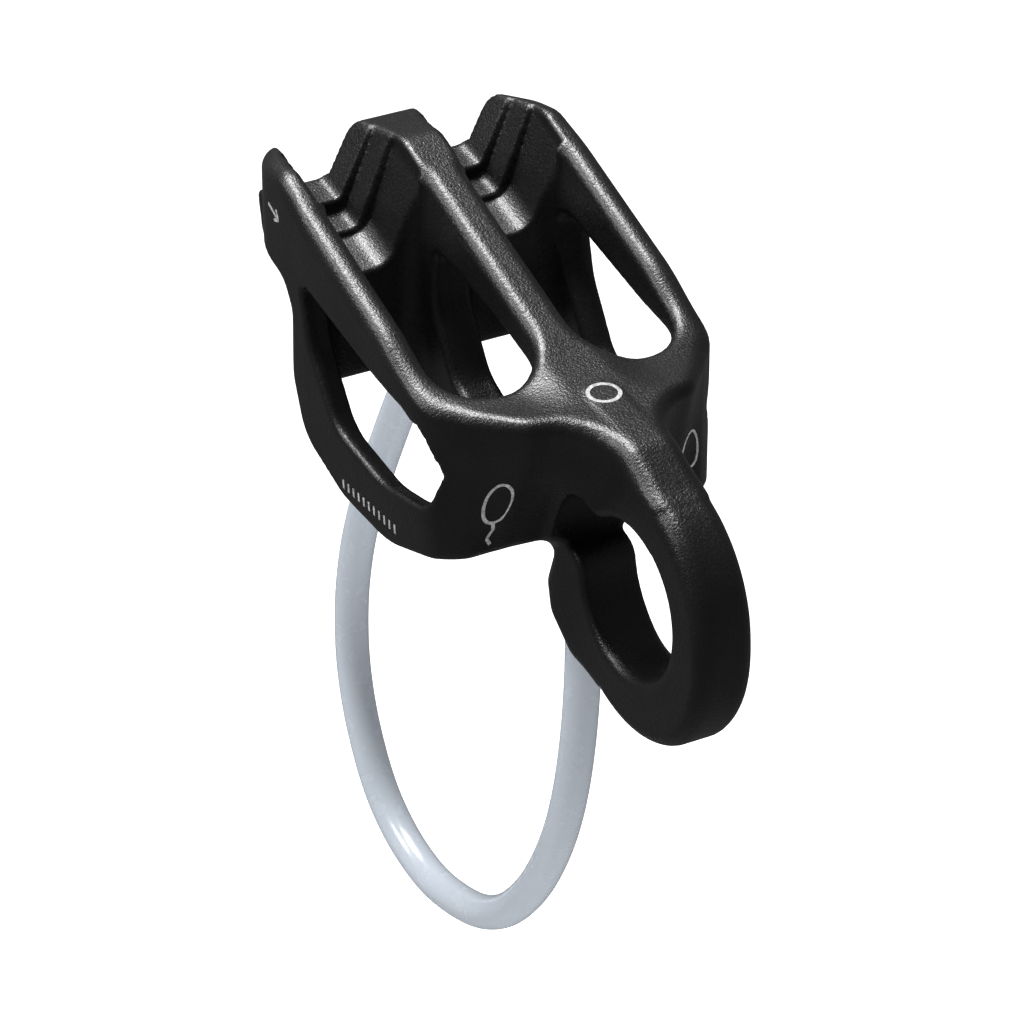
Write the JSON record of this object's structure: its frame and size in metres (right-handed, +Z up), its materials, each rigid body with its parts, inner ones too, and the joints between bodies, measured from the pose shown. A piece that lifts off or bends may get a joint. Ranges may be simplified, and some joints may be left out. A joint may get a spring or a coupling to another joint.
{
  "type": "rope descender",
  "caption": "Forged tubular guide-style rope descender: two rope slots with stepped V friction notches, an anchor eye with a release lobe and a flexible keeper cable loop.",
  "frame": {"origin": "centre of the anchor eye, in the mid-plane of the ring", "axes": "+X across the rope slots along the anchor eye's axis, +Y from the eye towards the friction end, +Z up through the rope slots, away from the keeper loop"},
  "size_m": [0.0418, 0.0957, 0.1127],
  "materials": {
    "anodised_body": "bead-blasted black anodised",
    "cable_jacket": "translucent milky plastic",
    "wire_rope": "bright steel strands",
    "sleeve": "swaged steel"
  },
  "bodies": {
    "descender": {"body": "anodised_body", "sleeve_eye_end": "sleeve", "sleeve_friction_end": "sleeve"},
    "keeper_loop": {"cable_jacket": "cable_jacket", "wire_rope": "wire_rope"}
  },
  "joints": [
    {"name": "loop_flex", "type": "hinge", "parent": "descender", "child": "keeper_loop", "pos_m": [0, 0.0158, -0.0135], "axis": [0, 0.931, 0.365], "range_deg": [-35, 35], "stiffness_Nm_per_rad": 0.05, "deforming": ["cable_jacket", "wire_rope"]}
  ]
}
